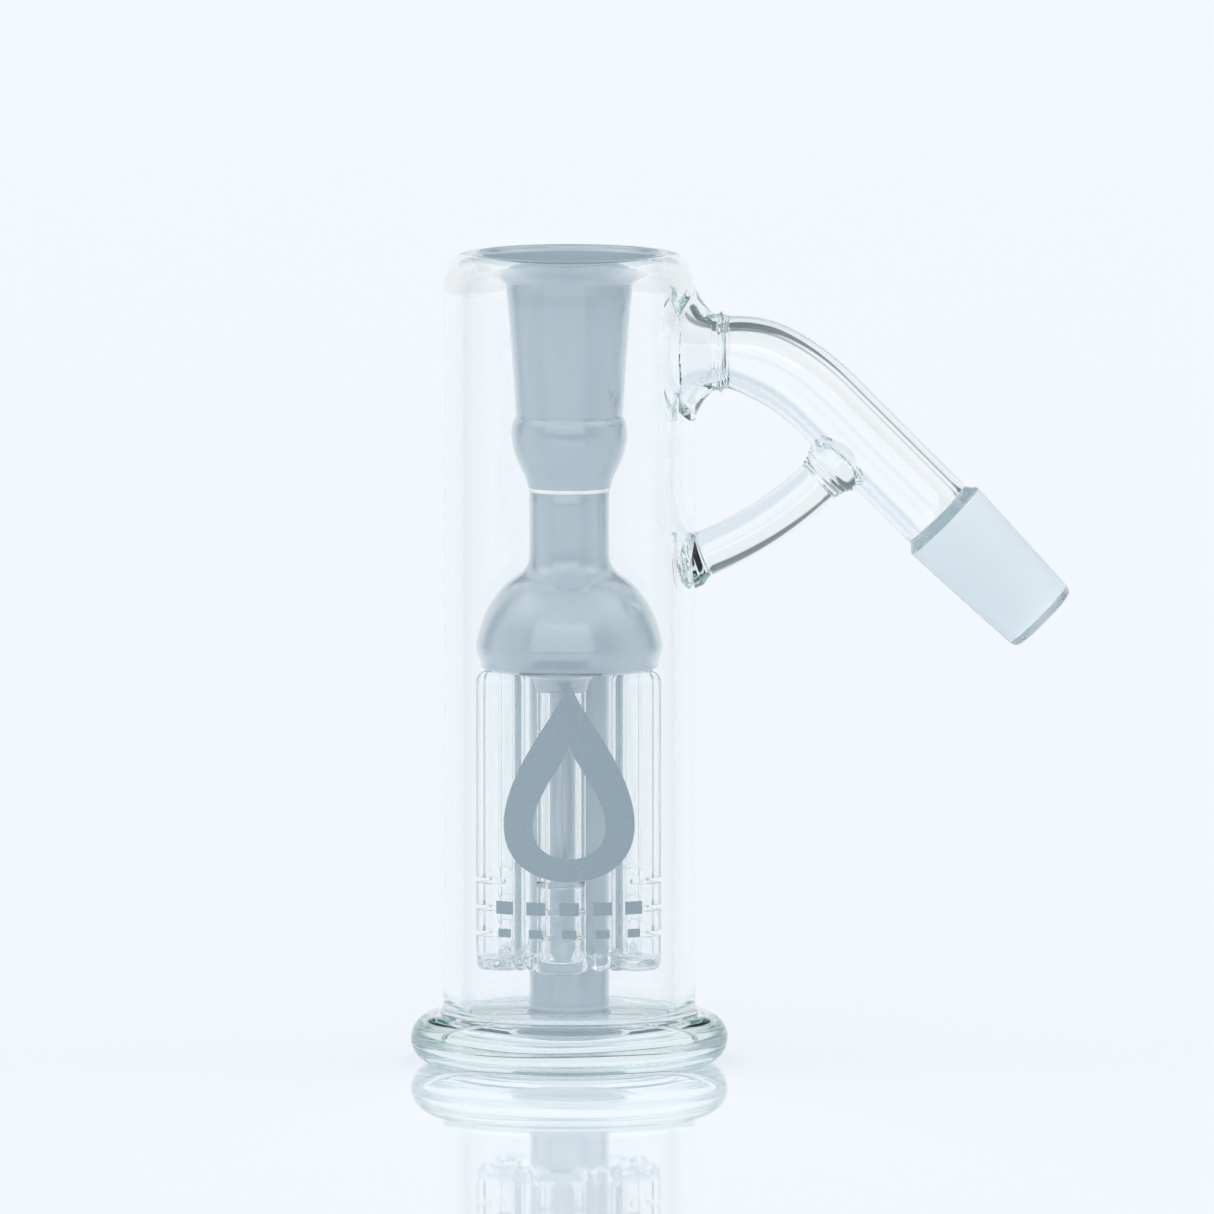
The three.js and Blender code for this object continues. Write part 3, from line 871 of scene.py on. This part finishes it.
def bridge(name, from_arm, to_arm):
    """A pinched bead of glass that joins two neighbouring arms."""
    start = middle(from_arm)
    end = middle(to_arm)
    chord = Vector((end.x - start.x, end.y - start.y, 0))
    half = chord.length / 2 - ARM_R + BEAD_OVERLAP
    profile = [(0.0, -half)]
    profile += smooth([(1.7, -half + 0.02), (1.45, -half * 0.7), (0.95, -half * 0.4), (1.4, 0),
                       (0.95, half * 0.4), (1.45, half * 0.7), (1.7, half - 0.02)], 5)
    profile += [(0.0, half)]
    bead = lathe(name + "_bead", profile, 36, CLEAR)
    for vertex in bead.data.vertices:
        around = math.atan2(vertex.co.y, vertex.co.x)
        lobes = 1 + LOBE_SIZE * math.sin(LOBE_COUNT * around + LOBE_TWIST * vertex.co.z)
        vertex.co.x *= lobes
        vertex.co.y *= lobes
    turn = chord.to_track_quat("Z", "Y").to_matrix().to_4x4()
    bead.data.transform(Matrix.Translation(middle(name) * MM) @ turn)
    return piece(bead, "clear_glass", name)


# ---- printed mark -------------------------------------------------------------------
PRINT_FRONT = 0.05
PRINT_BACK = 0.012
DROP_POINT = 1.6
DROP_WIDEN = 1.22
# Height above the floor, height of a dash and its width, for each row.
DASH_ROWS = ((25.8, 2.0, 3.0), (21.9, 1.3, 2.2))
DASH_COUNT = 5
DASH_PITCH = 5.2


def drop_outline(width, height, centre_z, count):
    """A plain drop with its point upwards."""
    points = []
    for i in range(count):
        t = 2 * math.pi * i / count
        x = width / 2 * math.sin(t) * math.sin(t / 2) ** DROP_POINT * DROP_WIDEN
        points.append((x, centre_z + height / 2 * math.cos(t)))
    return points


def on_can(x, z, lift):
    """A flat drawing's point laid round the can's front, lifted off the glass."""
    angle = x / CAN_R
    radius = CAN_R + lift
    return (radius * math.sin(angle), -radius * math.cos(angle), z)


def band_mesh(name, rings):
    """A thin print on the can's front between nested outlines."""
    columns = len(rings[0])
    vertices = []
    for lift, order in ((PRINT_FRONT, rings), (PRINT_BACK, rings[::-1])):
        for ring in order:
            vertices += [on_can(x, z, lift) for x, z in ring]
    faces = grid_faces(2 * len(rings), columns, closed_rows=True)
    return mesh_object(name, vertices, faces, PRINT)


def blend_outlines(outer, inner, steps):
    """Outlines at even steps from outer to inner."""
    rings = []
    for k in range(steps + 1):
        t = k / steps
        rings.append([(ox + (ix - ox) * t, oz + (iz - oz) * t)
                      for (ox, oz), (ix, iz) in zip(outer, inner)])
    return rings


def printed_drop():
    """A drop with a drop-shaped hole."""
    outer = drop_outline(width=25, height=31, centre_z=45.5, count=120)
    inner = drop_outline(width=13.5, height=17.5, centre_z=42.3, count=120)
    return piece(band_mesh("printed_drop", blend_outlines(outer, inner, 4)), "milky_glass")


def printed_dashes():
    """Two rows of plain dashes below the drop."""
    vertices = []
    faces = []
    columns = 6
    for z, tall, wide in DASH_ROWS:
        half = tall / 2
        edges = ((PRINT_FRONT, half), (PRINT_FRONT, -half), (PRINT_BACK, -half), (PRINT_BACK, half))
        for index in range(DASH_COUNT):
            centre = (index - DASH_COUNT // 2) * DASH_PITCH
            start = len(vertices)
            for lift, up in edges:
                vertices += [on_can(centre + wide * (i / columns - 0.5), z + up, lift)
                             for i in range(columns + 1)]
            row = columns + 1
            corners = [start + k * row for k in range(len(edges))]
            for a, b in zip(corners, corners[1:] + corners[:1]):
                faces += [(a + i, a + i + 1, b + i + 1, b + i) for i in range(columns)]
            faces.append(tuple(corners))
            faces.append(tuple(corner + columns for corner in corners))
    return piece(mesh_object("printed_dashes", vertices, faces, PRINT), "milky_glass")


# ---- build ------------------------------------------------------------------------
add_camera()
add_stage()
clear_body()
milky_socket()
milky_dome()
seam_band()
milky_post()
milky_drip()
post_weld()
for arm_name in ARMS:
    slotted_arm(arm_name)
for number, bridge_name in enumerate(BRIDGES):
    bridge(bridge_name, ARMS[number], ARMS[(number + 1) % len(ARMS)])
printed_drop()
printed_dashes()
